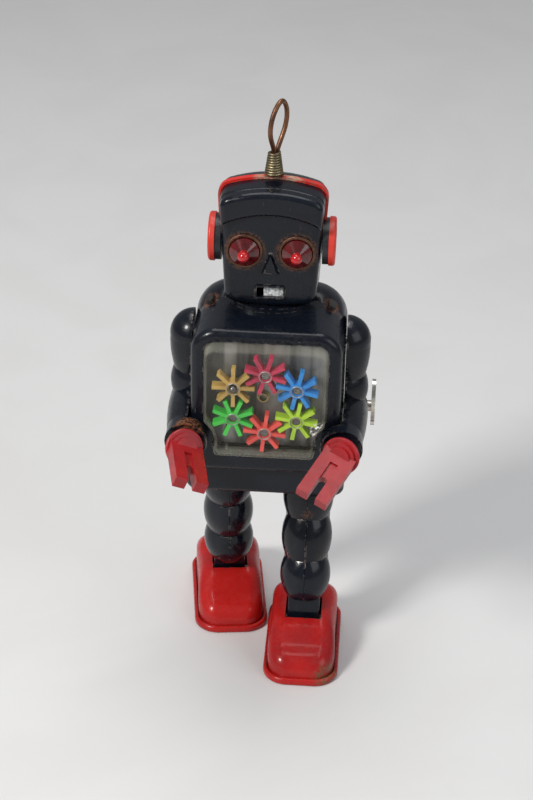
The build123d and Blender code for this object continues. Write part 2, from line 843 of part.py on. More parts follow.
# Feet -----------------------------------------------------------------------
def foot_plan(z, grow):
    """Plan view of the foot about the ankle, toe towards -Y."""
    length = foot_front + foot_back - 2.6 + 2 * grow
    with BuildSketch(Plane.XY.offset(z)) as plan:
        with Locations((0, (foot_back - foot_front) / 2)):
            Rectangle(2 * (foot_half - 1.3 + grow), length)
        fillet(plan.vertices().group_by(Axis.Y)[0], 9 + grow)
        fillet(plan.vertices().group_by(Axis.Y)[-1], 7 + grow)
    return plan.sketch


def foot_section(y, half, height, corner):
    """Arch-shaped cross-section of the foot's upper."""
    with BuildSketch(at_y(y)) as section:
        with Locations((0, (1.2 + height) / 2)):
            Rectangle(2 * half, height - 1.2)
        fillet(section.vertices().group_by(Axis.Y)[-1], corner)
    return section.sketch


upper_half = foot_half - 1.95
toe_y = 1.6 - foot_front
heel_y = foot_back - 1.6


def rounded_half(from_end, corner):
    """Half width of the upper, measured this far in from its toe or heel."""
    if from_end > corner:
        return upper_half
    return upper_half - corner + (corner ** 2 - (corner - from_end) ** 2) ** 0.5


with BuildPart() as foot_body:
    loft(
        [
            foot_section(toe_y, rounded_half(0.15, 9), 5.5, 2),
            foot_section(toe_y + 1.3, rounded_half(1.3, 9), 8.8, 3),
            foot_section(toe_y + 3.9, rounded_half(3.9, 9), 11.4, 5.5),
            foot_section(toe_y + 8, rounded_half(8, 9), 13.4, 6.6),
            foot_section(-8, upper_half, 19.8, 7.3),
            foot_section(6, upper_half, 20.6, 7.3),
            foot_section(heel_y - 8.5, upper_half, 20, 7.3),
            foot_section(heel_y - 3, rounded_half(3, 7), 15, 6),
            foot_section(heel_y - 1, rounded_half(1, 7), 11, 4),
            foot_section(heel_y, rounded_half(0.15, 7), 7, 3),
        ]
    )
foot_outer = foot_body.part
with BuildPart() as foot_hollow:
    with BuildSketch(Plane.XY):
        with Locations((0, 1.5)):
            Rectangle(23.4, 42)
    extrude(amount=8)
    with BuildSketch(Plane.XY):
        with Locations((0, 4)):
            Rectangle(20.6, 24)
    extrude(amount=17.5)
roller_y = -13
roller_z = 3.7
roller_radius = 3.4


def placed(piece, side):
    """Set a foot piece under its leg; the right foot turns in."""
    y, z = ankle_centre(side)
    turn = toe_in if side < 0 else 0
    return piece.rotate(Axis.Z, turn).translate((side * leg_x, y, 0))


with BuildPart() as foot_upper:
    add(foot_outer)
    add(foot_hollow.part, mode=Mode.SUBTRACT)
    with BuildSketch(Plane.XY.offset(1)):
        Rectangle(15.2, 14.6)
    extrude(amount=24, mode=Mode.SUBTRACT)

with BuildPart() as foot_sole:
    extrude(foot_plan(0, 1.3), amount=3.1)
    fillet(foot_sole.faces().sort_by(Axis.Z)[0].edges(), 0.9)
    fillet(foot_sole.faces().sort_by(Axis.Z)[-1].edges(), 1.2)
    extrude(foot_plan(1.2, -0.14), amount=3, mode=Mode.SUBTRACT)
    extrude(foot_plan(0, -1.2), amount=0.6, mode=Mode.SUBTRACT)
    with BuildSketch(Plane.XY):
        with Locations((0, roller_y)):
            Rectangle(13, 8)
    extrude(amount=2, mode=Mode.SUBTRACT)
    for way in (-1, 1):
        with BuildSketch(Plane.YZ.offset(way * 7.6 - 0.4)):
            with Locations((roller_y, 3.6)):
                Rectangle(6, 5.2)
            with Locations((roller_y, roller_z)):
                Circle(0.9, mode=Mode.SUBTRACT)
        extrude(amount=0.8)
        with BuildSketch(Plane.YZ.offset(way * 9 - 0.5)):
            with Locations((0, 9.2)):
                Rectangle(8, 16)
            with Locations((0, ankle_z)):
                Circle(1.5, mode=Mode.SUBTRACT)
        extrude(amount=1)

with BuildPart() as foot_roller:
    with BuildSketch(Plane.YZ.offset(-6)):
        with Locations((roller_y, roller_z)):
            Circle(roller_radius)
    extrude(amount=12)
    fillet(foot_roller.edges().filter_by(GeomType.CIRCLE), 0.5)
    with BuildSketch(Plane.YZ.offset(-8.6)):
        with Locations((roller_y, roller_z)):
            Circle(0.83)
    extrude(amount=17.2)

for side, name in ((-1, "right"), (1, "left")):
    save(placed(foot_upper.part, side), f"{name}_foot_upper")
    sole = placed(foot_sole.part, side)
    with BuildPart() as bored_sole:
        add(sole)
        with BuildSketch(Plane.YZ.offset(side * leg_x)):
            with Locations(ankle_centre(side)):
                Circle(1.5)
        extrude(amount=12, both=True, mode=Mode.SUBTRACT)
    save(bored_sole.part, f"{name}_foot_sole")
    save(placed(foot_roller.part, side), f"{name}_foot_roller")
    with BuildPart() as ankle_pin:
        with BuildSketch(Plane.YZ.offset(side * leg_x - 9.4)):
            with Locations(ankle_centre(side)):
                Circle(1.5)
        extrude(amount=18.8)
    save(ankle_pin.part, f"{name}_ankle_pin")

# Waist block and hip ---------------------------------------------------------
waist_front_y = -18
waist_back_y = 25
waist_low = 84.2
waist_middle_y = (waist_front_y + waist_back_y) / 2
waist_depth = waist_back_y - waist_front_y


def waist_form(inset):
    """Rounded box under the torso."""
    with BuildPart() as form:
        with BuildSketch(Plane.XY.offset(waist_low + inset)):
            with Locations((0, waist_middle_y)):
                RectangleRounded(
                    2 * (waist_half - inset), waist_depth - 2 * inset, 5 - inset
                )
        extrude(amount=torso_bottom - waist_low - 0.2 - 2 * inset)
        fillet(form.faces().sort_by(Axis.Z)[0].edges(), 3 - inset)
        fillet(form.faces().sort_by(Axis.Z)[-1].edges(), 1.3 - inset)
    return form.part


waist_outer = waist_form(0)
waist_inner = waist_form(wall)
with BuildPart() as waist_block:
    add(waist_outer)
    add(waist_inner, mode=Mode.SUBTRACT)
    with BuildSketch(Plane.XY.offset(torso_bottom - 2)):
        with Locations((0, waist_middle_y)):
            Rectangle(50, 34)
    extrude(amount=3, mode=Mode.SUBTRACT)
    with BuildSketch(Plane.XY.offset(waist_low - 1)):
        with Locations((-leg_x, hip_y), (leg_x, hip_y)):
            Rectangle(2.6, 14)
    extrude(amount=4, mode=Mode.SUBTRACT)
save(waist_block.part, "waist_block")

with BuildPart() as hip_axle:
    with BuildSketch(Plane.YZ.offset(-waist_half + wall)):
        with Locations((hip_y, hip_z)):
            Circle(1.5)
    extrude(amount=2 * (waist_half - wall))
save(hip_axle.part, "hip_axle")

# Clockwork ------------------------------------------------------------------
frame_x = 13
wheel_teeth = 40
pinion_teeth = 10
module = 2 * train_step / (wheel_teeth + pinion_teeth)
second_y = (arbor_y + disc_y) / 2
second_z = (arbor_z + disc_z) / 2
disc_face_x = -star_x + star_roller_radius + 0.05


def gear(x, thick, y, z, teeth, phase):
    """Toothed wheel on an X axis; phase is the angle of one tooth from +Y to +Z."""
    pitch = module * teeth / 2
    plane = Plane(origin=(x, y, z), x_dir=(0, 1, 0), z_dir=(1, 0, 0))
    root = pitch - 0.62 * module * 1.3
    tip = pitch + 0.8 * module
    wide = 0.2 * module * 3.1416
    tooth = [
        (root - 0.3, -wide * 1.5),
        (pitch, -wide),
        (tip, -wide * 0.5),
        (tip, wide * 0.5),
        (pitch, wide),
        (root - 0.3, wide * 1.5),
    ]
    with BuildPart() as wheel:
        with BuildSketch(plane):
            Circle(root)
            with PolarLocations(0, teeth, start_angle=phase):
                Polygon(*tooth, align=None)
        extrude(amount=thick)
        if teeth == wheel_teeth:
            with BuildSketch(plane):
                with PolarLocations(pitch * 0.58, 4):
                    Circle(pitch * 0.22)
            extrude(amount=thick, mode=Mode.SUBTRACT)
    return wheel.part


def mesh_phase(angle, phase, teeth, next_teeth):
    """Tooth angle of the next wheel so that it meshes with one at the given angle."""
    turned = (angle - phase) * teeth / next_teeth
    return angle + 180 + turned + 180 / next_teeth


def pin(x, length, y, z, radius):
    """Plain round shaft along X."""
    with BuildPart() as shaft:
        with BuildSketch(Plane.YZ.offset(x)):
            with Locations((y, z)):
                Circle(radius)
        extrude(amount=length)
    return shaft.part


up_angle = degrees(atan2(second_z - arbor_z, second_y - arbor_y))
crank_angle = degrees(atan2(crank_z - arbor_z, crank_y - arbor_y))
second_phase = mesh_phase(up_angle, 0, wheel_teeth, pinion_teeth)
crank_phase = mesh_phase(crank_angle, 0, wheel_teeth, pinion_teeth)
disc_phase = mesh_phase(up_angle, second_phase, wheel_teeth, pinion_teeth)

great_gear = gear(-2.4, 1.2, arbor_y, arbor_z, wheel_teeth, 0)
second_pinion = gear(-3.4, 3.2, second_y, second_z, pinion_teeth, second_phase)
second_gear = gear(2, 1.2, second_y, second_z, wheel_teeth, second_phase)
crank_pinion = gear(-3.4, 3.2, crank_y, crank_z, pinion_teeth, crank_phase)
disc_pinion = gear(1, 3.2, disc_y, disc_z, pinion_teeth, disc_phase)

with BuildPart() as great_wheel:
    add(great_gear)
    with BuildSketch(Plane.YZ.offset(-3.4)):
        with Locations((arbor_y, arbor_z)):
            Circle(3)
    extrude(amount=3)
    with BuildSketch(Plane.YZ.offset(-4)):
        with Locations((arbor_y, arbor_z)):
            Circle(1.68)
    extrude(amount=5, mode=Mode.SUBTRACT)
save(great_wheel.part, "great_wheel")

with BuildPart() as second_wheel:
    add(second_gear)
    add(second_pinion)
    add(pin(-frame_x - 1, 2 * frame_x + 2, second_y, second_z, 0.9))
save(second_wheel.part, "second_wheel")

with BuildPart() as friction_disc:
    add(disc_pinion)
    add(pin(-frame_x + 1.1, 2 * frame_x - 0.1, disc_y, disc_z, 0.9))
    with BuildSketch(Plane.YZ.offset(disc_face_x)):
        with Locations((disc_y, disc_z)):
            Circle(roller_contact + 0.8)
    extrude(amount=0.9)
save(friction_disc.part, "friction_disc")

with BuildPart() as crank_axle:
    add(crank_pinion)
    add(pin(-14.2, 28.4, crank_y, crank_z, 1.2))
    across = radians(crank_lean)
    for side in (-1, 1):
        pin_y = crank_y + side * crank_throw * cos(across)
        pin_z = crank_z + side * crank_throw * sin(across)
        with BuildSketch(Plane.YZ.offset(side * 14.2)):
            with Locations((crank_y, crank_z)):
                Circle(crank_throw + 1.6)
        extrude(amount=side * 0.8)
        with BuildSketch(Plane.YZ.offset(side * 15)):
            with Locations((pin_y, pin_z)):
                Circle(1)
        extrude(amount=side * 0.8)
save(crank_axle.part, "crank_axle")

bearings = [(arbor_y, arbor_z, 1.68), (second_y, second_z, 0.98), (crank_y, crank_z, 1.28)]
with BuildPart() as motor_frame:
    for side in (-1, 1):
        with BuildSketch(Plane.YZ.offset(side * frame_x - 0.4)):
            with Locations((8.2, 121)):
                RectangleRounded(27.6, 42, 3)
            with Locations((disc_y, disc_z)):
                Circle(2.4)
            for y, z, radius in bearings:
                with Locations((y, z)):
                    Circle(radius, mode=Mode.SUBTRACT)
            if side > 0:
                with Locations((disc_y, disc_z)):
                    Circle(0.98, mode=Mode.SUBTRACT)
        extrude(amount=0.8)
    for y, z in ((2.2, 101.8), (20, 139.5), (-3.5, 139.5)):
        add(pin(-frame_x + 0.4, 2 * frame_x - 0.8, y, z, 1.3))
    with BuildSketch(Plane.YZ.offset(-frame_x + 0.4)):
        with Locations((disc_y, disc_z)):
            Circle(2.2)
            Circle(0.98, mode=Mode.SUBTRACT)
    extrude(amount=1.6)
save(motor_frame.part, "motor_frame")

spring_coils = 6
spring_inner = 2.1
spring_outer = 7.6
steps = 8 * spring_coils
spring_plane = Plane(origin=(-11.4, arbor_y, arbor_z), x_dir=(0, 1, 0), z_dir=(1, 0, 0))
with BuildPart() as mainspring:
    with BuildSketch(spring_plane):
        with BuildLine():
            spiral = []
            for step in range(steps + 1):
                reach = spring_inner + (spring_outer - spring_inner) * step / steps
                angle = radians(45 * step)
                spiral.append((reach * cos(angle), reach * sin(angle)))
            Spline(*spiral)
        trace(line_width=0.4)
    extrude(amount=6.8)
save(mainspring.part, "mainspring")

# Winding arbor and key --------------------------------------------------------
key_x = 42.6
key_wire = 0.8
with BuildPart() as winding_arbor:
    add(pin(-frame_x - 1, 38.6 + frame_x, arbor_y, arbor_z, 1.6))
    add(pin(-frame_x + 8.7, 0.9, arbor_y, arbor_z, 2.4))
save(winding_arbor.part, "winding_arbor")

with BuildPart() as winding_key:
    add(pin(torso_half + 1.4, key_x - torso_half - 2.2, arbor_y, arbor_z, 2.3))
    add(pin(torso_half, 8, arbor_y, arbor_z, 1.6), mode=Mode.SUBTRACT)
    with BuildSketch(Plane.YZ.offset(key_x - key_wire)):
        with Locations((arbor_y, arbor_z + 3)):
            Ellipse(5.6, 9.4)
            Ellipse(4.0, 7.8, mode=Mode.SUBTRACT)
        with Locations((arbor_y, arbor_z)):
            SlotCenterToCenter(8, 2.6)
        with Locations((arbor_y, arbor_z - 7)):
            Circle(2)
            Circle(0.8, mode=Mode.SUBTRACT)
    extrude(amount=2 * key_wire)
save(winding_key.part, "winding_key")
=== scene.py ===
from math import cos, pi, sin

import bmesh
import bpy
from mathutils import Matrix, Vector


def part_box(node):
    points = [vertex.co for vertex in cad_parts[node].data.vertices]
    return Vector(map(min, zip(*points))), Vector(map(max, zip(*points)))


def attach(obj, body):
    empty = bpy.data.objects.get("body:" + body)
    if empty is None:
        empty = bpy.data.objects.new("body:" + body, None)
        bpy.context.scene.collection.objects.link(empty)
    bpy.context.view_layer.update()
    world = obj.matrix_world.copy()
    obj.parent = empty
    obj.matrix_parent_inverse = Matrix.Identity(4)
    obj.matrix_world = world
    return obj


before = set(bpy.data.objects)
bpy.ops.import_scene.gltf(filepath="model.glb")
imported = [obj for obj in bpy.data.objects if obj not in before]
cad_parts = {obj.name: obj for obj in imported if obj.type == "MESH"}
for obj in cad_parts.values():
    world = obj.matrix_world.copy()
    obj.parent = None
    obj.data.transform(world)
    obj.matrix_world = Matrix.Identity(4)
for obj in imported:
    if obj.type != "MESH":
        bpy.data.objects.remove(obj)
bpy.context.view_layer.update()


# Shader helpers -------------------------------------------------------------
class Shade:
    """A procedural material under construction."""

    def __init__(self, name, rough=0.35, metal=0.0, coat=0.0, coat_rough=0.1):
        self.material = bpy.data.materials.new(name)
        self.material.use_nodes = True
        self.nodes = self.material.node_tree.nodes
        self.links = self.material.node_tree.links
        self.shader = self.nodes["Principled BSDF"]
        self.shader.inputs["Roughness"].default_value = rough
        self.shader.inputs["Metallic"].default_value = metal
        self.shader.inputs["Coat Weight"].default_value = coat
        self.shader.inputs["Coat Roughness"].default_value = coat_rough
        self.place = self.nodes.new("ShaderNodeTexCoord").outputs["Object"]

    def set(self, socket, value):
        """Set a constant on the shader."""
        self.shader.inputs[socket].default_value = value

    def feed(self, target, value):
        """Put a number, colour or another node's output into a socket."""
        if isinstance(value, bpy.types.NodeSocket):
            self.links.new(value, target)
        else:
            target.default_value = value

    def noise(self, scale, detail=4.0, stretch=(1, 1, 1), distortion=0.0):
        """Noise over the object, with its grain stretched along an axis."""
        mapping = self.nodes.new("ShaderNodeMapping")
        mapping.inputs["Scale"].default_value = stretch
        self.links.new(self.place, mapping.inputs["Vector"])
        noise = self.nodes.new("ShaderNodeTexNoise")
        noise.inputs["Scale"].default_value = scale
        noise.inputs["Detail"].default_value = detail
        noise.inputs["Distortion"].default_value = distortion
        self.links.new(mapping.outputs["Vector"], noise.inputs["Vector"])
        return noise.outputs["Fac"]

    def ramp(self, value, low, high, start=0.0, end=1.0):
        """Value from low to high becomes start to end, clamped and smooth."""
        ramp = self.nodes.new("ShaderNodeMapRange")
        ramp.interpolation_type = "SMOOTHSTEP"
        self.feed(ramp.inputs["Value"], value)
        ramp.inputs["From Min"].default_value = low
        ramp.inputs["From Max"].default_value = high
        ramp.inputs["To Min"].default_value = start
        ramp.inputs["To Max"].default_value = end
        return ramp.outputs["Result"]

    def math(self, kind, a, b=0.0):
        """One arithmetic step."""
        node = self.nodes.new("ShaderNodeMath")
        node.operation = kind
        self.feed(node.inputs[0], a)
        self.feed(node.inputs[1], b)
        return node.outputs["Value"]

    def mix(self, amount, a, b):
        """Blend two colours."""
        node = self.nodes.new("ShaderNodeMix")
        node.data_type = "RGBA"
        self.feed(node.inputs["Factor"], amount)
        self.feed(node.inputs["A"], a)
        self.feed(node.inputs["B"], b)
        return node.outputs["Result"]

    def edges(self, radius, low=0.004, high=0.05):
        """1 on sharp edges of the form, 0 on its flats."""
        bevel = self.nodes.new("ShaderNodeBevel")
        bevel.samples = 6
        bevel.inputs["Radius"].default_value = radius
        plain = self.nodes.new("ShaderNodeNewGeometry").outputs["True Normal"]
        dot = self.nodes.new("ShaderNodeVectorMath")
        dot.operation = "DOT_PRODUCT"
        self.links.new(bevel.outputs["Normal"], dot.inputs[0])
        self.links.new(plain, dot.inputs[1])
        turned = self.math("SUBTRACT", 1.0, dot.outputs["Value"])
        return self.ramp(turned, low, high)

    def near(self, point, radius, soft=0.4):
        """1 inside a ball round a point, fading out at its rim."""
        away = self.nodes.new("ShaderNodeVectorMath")
        away.operation = "DISTANCE"
        self.links.new(self.place, away.inputs[0])
        away.inputs[1].default_value = point
        return self.ramp(away.outputs["Value"], radius * (1 - soft), radius, 1.0, 0.0)

    def spots(self, mask, grain, low, high):
        """Ragged patches where the mask lies and the grain is strong."""
        return self.math("MULTIPLY", mask, self.ramp(grain, low, high))

    def bump(self, height, strength, distance):
        """Relief on the surface."""
        bump = self.nodes.new("ShaderNodeBump")
        bump.inputs["Strength"].default_value = strength
        bump.inputs["Distance"].default_value = distance
        self.feed(bump.inputs["Height"], height)
        self.links.new(bump.outputs["Normal"], self.shader.inputs["Normal"])

    def colour(self, value):
        """Colour of the surface."""
        self.feed(self.shader.inputs["Base Color"], value)

    def rough(self, value):
        """Roughness of the surface."""
        self.feed(self.shader.inputs["Roughness"], value)

    def metal(self, value):
        """How metallic the surface is."""
        self.feed(self.shader.inputs["Metallic"], value)


RUST = (0.17, 0.065, 0.03, 1)
RUST_ON_METAL = (0.13, 0.05, 0.025, 1)


def painted_tin(name, paint, deep, bare, grime, rust_at=(), scuff=0.5, rough=0.2):
    """Glossy lacquer on tin, worn at the edges and scratched."""
    shade = Shade(name, coat=0.2, coat_rough=0.04)
    shade.set("Specular IOR Level", 0.2)
    cloud = shade.noise(45, 6)
    grain = shade.noise(420, 5)
    fine = shade.noise(1500, 3)
    scratch = shade.noise(260, 4, (9, 1, 1), 0.6)
    base = shade.mix(shade.ramp(cloud, 0.35, 0.7), paint, deep)
    dust = shade.spots(shade.ramp(cloud, 0.5, 0.72), grain, 0.5, 0.75)
    base = shade.mix(shade.math("MULTIPLY", dust, scuff), base, grime)
    lines = shade.math("MULTIPLY", shade.ramp(scratch, 0.68, 0.74), 0.5)
    base = shade.mix(lines, base, grime)
    edge = shade.edges(0.0007)
    chips = shade.spots(edge, grain, 0.5, 0.6)
    base = shade.mix(chips, base, bare)
    for point, radius in rust_at:
        spot = shade.spots(shade.near(point, radius), shade.noise(900, 6), 0.42, 0.56)
        base = shade.mix(spot, base, RUST)
    shade.colour(base)
    shade.metal(shade.math("MULTIPLY", chips, 0.8))
    shade.rough(shade.ramp(grain, 0.25, 0.8, rough, rough + 0.22))
    relief = shade.math("ADD", cloud, shade.math("MULTIPLY", fine, 0.08))
    shade.bump(shade.math("SUBTRACT", relief, chips), 0.25, 0.0006)
    return shade


def moulded(name, light, dark, rough=0.3, glow=0.0, grime=(0.05, 0.03, 0.03, 1)):
    """Moulded plastic with slight sink, dirt in its grain and rubbed edges."""
    shade = Shade(name, coat=0.15, coat_rough=0.2)
    shade.set("Specular IOR Level", 0.35)
    cloud = shade.noise(90, 5)
    grain = shade.noise(700, 5)
    base = shade.mix(shade.ramp(cloud, 0.3, 0.7), dark, light)
    dirt = shade.spots(shade.ramp(cloud, 0.55, 0.75), grain, 0.5, 0.7)
    base = shade.mix(shade.math("MULTIPLY", dirt, 0.45), base, grime)
    edge = shade.edges(0.0005)
    base = shade.mix(shade.math("MULTIPLY", edge, 0.25), base, light)
    shade.colour(base)
    shade.set("Subsurface Weight", glow)
    shade.set("Subsurface Radius", (0.002, 0.0012, 0.0012))
    shade.rough(shade.ramp(grain, 0.3, 0.75, rough, rough + 0.18))
    shade.bump(grain, 0.12, 0.0003)
    return shade


def bare_metal(name, light, dark, rough=0.3, rust=0.0, grain_along=(1, 1, 8)):
    """Bare metal with brush lines, dull patches and rust."""
    shade = Shade(name, metal=1.0)
    cloud = shade.noise(130, 6)
    brush = shade.noise(380, 4, grain_along)
    base = shade.mix(shade.ramp(cloud, 0.35, 0.7), light, dark)
    patch = shade.spots(shade.ramp(cloud, 0.5, 0.6), shade.noise(800, 6), 0.42, 0.6)
    rusty = shade.math("MULTIPLY", patch, rust)
    shade.colour(shade.mix(rusty, base, RUST_ON_METAL))
    shade.metal(shade.math("SUBTRACT", 1.0, rusty))
    shade.rough(shade.ramp(brush, 0.25, 0.75, rough, rough + 0.25))
    shade.bump(shade.math("ADD", brush, shade.math("MULTIPLY", rusty, 2.0)), 0.15, 0.0003)
    return shade


def give(material, *names):
    """Put one material on whole CAD nodes."""
    for name in names:
        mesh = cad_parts[name].data
        mesh.materials.clear()
        mesh.materials.append(material)


def centre(name):
    """Middle of a node's box."""
    low, high = (Vector(corner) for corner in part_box(name))
    return (low + high) / 2


def corners(name):
    """Lowest and highest corner of a node."""
    return tuple(Vector(corner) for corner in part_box(name))


# Finishes -------------------------------------------------------------------
NAVY = (0.0045, 0.0065, 0.0115, 1)
NAVY_DEEP = (0.003, 0.004, 0.007, 1)
WORN_TIN = (0.16, 0.14, 0.13, 1)
LILAC_DUST = (0.05, 0.047, 0.058, 1)

tabs = corners("shoulder_tabs")
cuff = centre("right_hand")
tab_front = (tabs[0].y + tabs[1].y) / 2
rust_spots = [
    ((tabs[0].x, tab_front, tabs[1].z), 0.006),
    ((tabs[1].x, tab_front, tabs[1].z), 0.006),
]
torso_paint = painted_tin(
    "torso_lacquer", NAVY, NAVY_DEEP, WORN_TIN, LILAC_DUST, rust_spots, 0.75
)
give(torso_paint.material, "torso_front", "torso_back", "waist_block", "neck_collar")

eye_wear = [(centre(f"{side}_eye_lens"), 0.0098) for side in ("left", "right")]
head_paint = painted_tin(
    "head_lacquer", NAVY, NAVY_DEEP, WORN_TIN, LILAC_DUST, eye_wear, 0.35, 0.16
)
give(head_paint.material, "head_front", "head_back")

cuff_rust = [((cuff.x, cuff.y + 0.012, cuff.z + 0.01), 0.009)]
arm_paint = painted_tin("arm_lacquer", NAVY, NAVY_DEEP, WORN_TIN, LILAC_DUST, cuff_rust, 0.4)
give(arm_paint.material, "right_arm_outer", "right_arm_inner", "left_arm_outer", "left_arm_inner")

knee = corners("left_leg_left_half")
knee_rust = [((knee[0].x, knee[0].y + 0.012, knee[1].z - 0.016), 0.005)]
leg_paint = painted_tin("leg_lacquer", NAVY, NAVY_DEEP, WORN_TIN, LILAC_DUST, knee_rust, 0.3, 0.14)
for side in ("left", "right"):
    give(leg_paint.material, f"{side}_leg_left_half", f"{side}_leg_right_half")
    give(leg_paint.material, f"{side}_ankle_block")

RED = (0.40, 0.012, 0.010, 1)
RED_DEEP = (0.27, 0.007, 0.008, 1)
toe = corners("left_foot_upper")
toe_chip = [((toe[1].x - 0.0035, toe[0].y + 0.003, 0.003), 0.0075)]
foot_paint = painted_tin(
    "foot_lacquer", RED, RED_DEEP, (0.10, 0.07, 0.05, 1), (0.10, 0.02, 0.015, 1), toe_chip, 0.35, 0.2
)
for side in ("left", "right"):
    give(foot_paint.material, f"{side}_foot_upper", f"{side}_foot_sole")

hand_red = moulded("hand_plastic", (0.33, 0.010, 0.014, 1), (0.22, 0.006, 0.009, 1), 0.34, 0.03)
give(hand_red.material, "left_hand", "right_hand")
ear_red = moulded("ear_plastic", (0.60, 0.038, 0.02, 1), (0.45, 0.026, 0.015, 1), 0.35, 0.04)
give(ear_red.material, "left_ear", "right_ear")
# Near-black drums behind the ear discs; their dark also stands in for painted shade on the right
# ear's rim, where the head casts its shadow.
drum_black_and_shade = moulded("drum_black_and_painted_shade", (0.018, 0.019, 0.022, 1), (0.009, 0.010, 0.012, 1), 0.3, 0.0)
give(drum_black_and_shade.material, "ear_drums")
roller = moulded("roller_plastic", (0.03, 0.03, 0.03, 1), (0.015, 0.015, 0.015, 1), 0.5, 0.0)
give(roller.material, "left_foot_roller", "right_foot_roller")

band_low, band_high = corners("head_band")
band_paint = painted_tin(
    "band_lacquer", (0.52, 0.022, 0.014, 1), (0.36, 0.014, 0.01, 1),
    (0.30, 0.20, 0.15, 1), (0.12, 0.03, 0.02, 1), (), 0.4, 0.22,
)
worn = band_paint.spots(
    band_paint.near((0.002, band_low.y, band_high.z), 0.011), band_paint.noise(300, 5), 0.4, 0.55
)
painted = band_paint.shader.inputs["Base Color"].links[0].from_socket
band_paint.colour(band_paint.mix(worn, painted, (0.42, 0.24, 0.17, 1)))
give(band_paint.material, "head_band")

rim = bare_metal("eye_bezel", (0.16, 0.085, 0.055, 1), (0.07, 0.035, 0.025, 1), 0.4, 0.6)
rim.metal(0.45)
give(rim.material, "eye_rims")

for side in ("left", "right"):
    low, high = corners(f"{side}_eye_lens")
    ball = ((low.x + high.x) / 2, low.y + 0.0023, (low.z + high.z) / 2)
    lens = Shade(f"{side}_lens_plastic", rough=0.14, coat=0.4, coat_rough=0.05)
    # Painted highlight: a bright red ball of light in each lens tip, painted into the lens colour
    # round a point just behind its front.
    painted_tip_highlight = lens.near(ball, 0.0026, 0.15)
    depth = lens.ramp(lens.noise(500, 4), 0.35, 0.7)
    glow = lens.mix(depth, (0.07, 0.003, 0.004, 1), (0.15, 0.004, 0.006, 1))
    lens.colour(lens.mix(painted_tip_highlight, glow, (0.60, 0.010, 0.012, 1)))
    lens.set("Transmission Weight", 0.25)
    lens.set("IOR", 1.49)
    lens.bump(lens.noise(900, 3), 0.05, 0.0002)
    give(lens.material, f"{side}_eye_lens")

mouth = Shade("mouth_plate", rough=0.6)
mottle = mouth.noise(900, 6)
mouth_tone = mouth.ramp(mottle, 0.35, 0.65)
mouth.colour(mouth.mix(mouth_tone, (0.28, 0.29, 0.30, 1), (0.72, 0.73, 0.73, 1)))
mouth.bump(mottle, 0.6, 0.0005)
give(mouth.material, "mouth_insert")

PLASTICS = {
    "green": ((0.06, 0.58, 0.07, 1), (0.03, 0.42, 0.05, 1)),
    "tan": ((0.52, 0.34, 0.09, 1), (0.36, 0.23, 0.06, 1)),
    "crimson": ((0.56, 0.03, 0.09, 1), (0.36, 0.02, 0.06, 1)),
    "blue": ((0.02, 0.28, 0.70, 1), (0.015, 0.18, 0.50, 1)),
    "lime": ((0.45, 0.68, 0.04, 1), (0.32, 0.50, 0.03, 1)),
    "coral": ((0.80, 0.09, 0.07, 1), (0.60, 0.06, 0.05, 1)),
}
for colour, (light, dark) in PLASTICS.items():
    star = moulded(f"{colour}_plastic", light, dark, 0.32, 0.25, dark)
    give(star.material, f"{colour}_star_wheel")

steel = bare_metal("plain_steel", (0.50, 0.50, 0.49, 1), (0.28, 0.27, 0.26, 1), 0.28, 0.25)
pin_steel = bare_metal("dark_pin_steel", (0.20, 0.19, 0.18, 1), (0.08, 0.075, 0.07, 1), 0.22, 0.2)
give(pin_steel.material, "star_pins", "star_spindle")
give(
    steel.material, "motor_frame", "mainspring", "winding_arbor",
    "friction_disc", "crank_axle", "hip_axle", "shoulder_pivots", "left_leg_lever",
    "right_leg_lever", "left_ankle_pin", "right_ankle_pin",
)
tab_steel = bare_metal("tab_steel", (0.10, 0.085, 0.08, 1), (0.03, 0.03, 0.035, 1), 0.35, 0.7)
give(tab_steel.material, "shoulder_tabs")
brass = bare_metal("dull_brass", (0.42, 0.32, 0.13, 1), (0.22, 0.17, 0.08, 1), 0.32, 0.15)
give(brass.material, "drive_collar", "great_wheel", "second_wheel")
spring_brass = bare_metal("spring_brass", (0.26, 0.22, 0.13, 1), (0.12, 0.10, 0.06, 1), 0.3, 0.3)
give(spring_brass.material, "antenna_spring")
copper = bare_metal("brown_copper", (0.20, 0.095, 0.05, 1), (0.09, 0.045, 0.03, 1), 0.3, 0.25)
give(copper.material, "antenna_loop")
nickel = bare_metal("key_nickel", (0.62, 0.60, 0.54, 1), (0.36, 0.33, 0.28, 1), 0.2, 0.35)
give(nickel.material, "winding_key")


def hub_ring(colour, radius, tube):
    """Thin bright eyelet pressed round a star wheel's hub."""
    low, high = corners(f"{colour}_star_wheel")
    mesh = bpy.data.meshes.new(f"{colour}_eyelet")
    form = bmesh.new()
    steps, around = 48, 10
    rings = []
    for step in range(steps):
        turn = Matrix.Rotation(2 * pi * step / steps, 3, "Y")
        ring = []
        for part in range(around):
            roll = 2 * pi * part / around
            squeeze = 0.8 if cos(roll) > 0 else 1.0
            spot = Vector((radius + tube * cos(roll) * squeeze, tube * sin(roll), 0))
            ring.append(form.verts.new(turn @ spot))
        rings.append(ring)
    for step in range(steps):
        near, far = rings[step], rings[(step + 1) % steps]
        for part in range(around):
            after = (part + 1) % around
            form.faces.new((near[part], near[after], far[after], far[part]))
    bmesh.ops.recalc_face_normals(form, faces=form.faces)
    for face in form.faces:
        face.smooth = True
    middle = (low + high) / 2
    front = Vector((middle.x, low.y, middle.z))
    bmesh.ops.translate(form, verts=form.verts, vec=front)
    form.to_mesh(mesh)
    form.free()
    eyelet = bpy.data.objects.new(f"{colour}_eyelet", mesh)
    bpy.context.collection.objects.link(eyelet)
    mesh.materials.append(steel.material)
    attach(eyelet, f"{colour}_star")


EYELET_RADIUS = 0.0024
EYELET_WIRE = 0.00022
for colour in PLASTICS:
    hub_ring(colour, EYELET_RADIUS, EYELET_WIRE)

